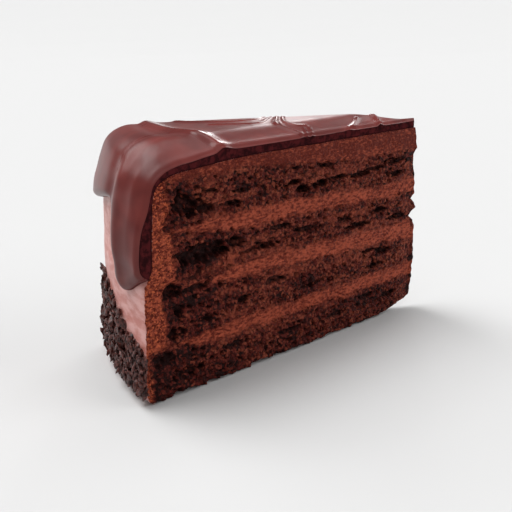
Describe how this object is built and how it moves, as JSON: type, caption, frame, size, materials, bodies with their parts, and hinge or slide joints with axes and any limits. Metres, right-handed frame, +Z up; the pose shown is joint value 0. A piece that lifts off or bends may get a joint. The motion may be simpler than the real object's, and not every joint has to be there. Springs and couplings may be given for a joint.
{
  "type": "chocolate cake slice",
  "caption": "Wedge of layered chocolate cake with creamy fillings, frosting on top and rim, a poured glaze with a drip, and crumbs on the lower rim.",
  "frame": {"origin": "middle of the bounding box at the height of the base", "axes": "+Z up; +X towards the tip of the wedge, -X towards the rim; the knife-cut face with the thick drip beside it faces -Y"},
  "size_m": [0.1383, 0.0564, 0.086],
  "materials": {
    "sponge": "open moist crumb, matt, nearly black in its pores",
    "filling": "soft cream smeared by the knife, satin",
    "frosting": "whipped cream frosting, grainy where cut, satin outside",
    "glaze": "set poured chocolate glaze, glossy"
  },
  "bodies": {
    "root": {"sponge_1": "sponge", "sponge_2": "sponge", "sponge_3": "sponge", "sponge_4": "sponge", "filling_1": "filling", "filling_2": "filling", "filling_3": "filling", "frosting": "frosting", "glaze": "glaze"}
  },
  "joints": []
}
